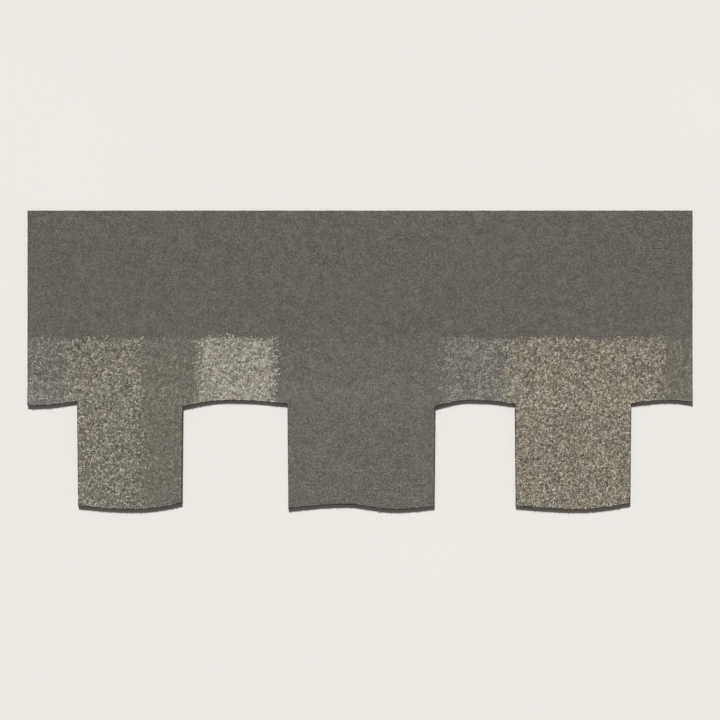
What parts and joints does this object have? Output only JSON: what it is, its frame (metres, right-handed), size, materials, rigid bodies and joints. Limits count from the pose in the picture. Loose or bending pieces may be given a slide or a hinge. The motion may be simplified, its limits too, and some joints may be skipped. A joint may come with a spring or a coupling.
{
  "type": "laminated asphalt shingle",
  "caption": "Shake-look roofing shingle: a granule-faced asphalt sheet with wide die-cut tabs, open slots, a doubled tab zone and a plain headlap.",
  "frame": {"origin": "middle of the underside: the centre of the bounding box in X and Y, at the level of the floor it lies on", "axes": "+X along the shingle's length, which is the direction of a course; +Y up the roof, from the tab butts to the headlap; +Z out of the granule face"},
  "size_m": [1.016, 0.457, 0.0056],
  "materials": {
    "granule_face": "rough, ceramic-coated mineral granules in a tan, cream and slate-grey blend",
    "asphalt_ply": "matte filled asphalt with fine mineral dust"
  },
  "bodies": {
    "root": {"shingle_sheet": "granule_face", "left_tab_backing": "asphalt_ply", "middle_tab_backing": "asphalt_ply", "right_tab_backing": "asphalt_ply"}
  },
  "joints": []
}
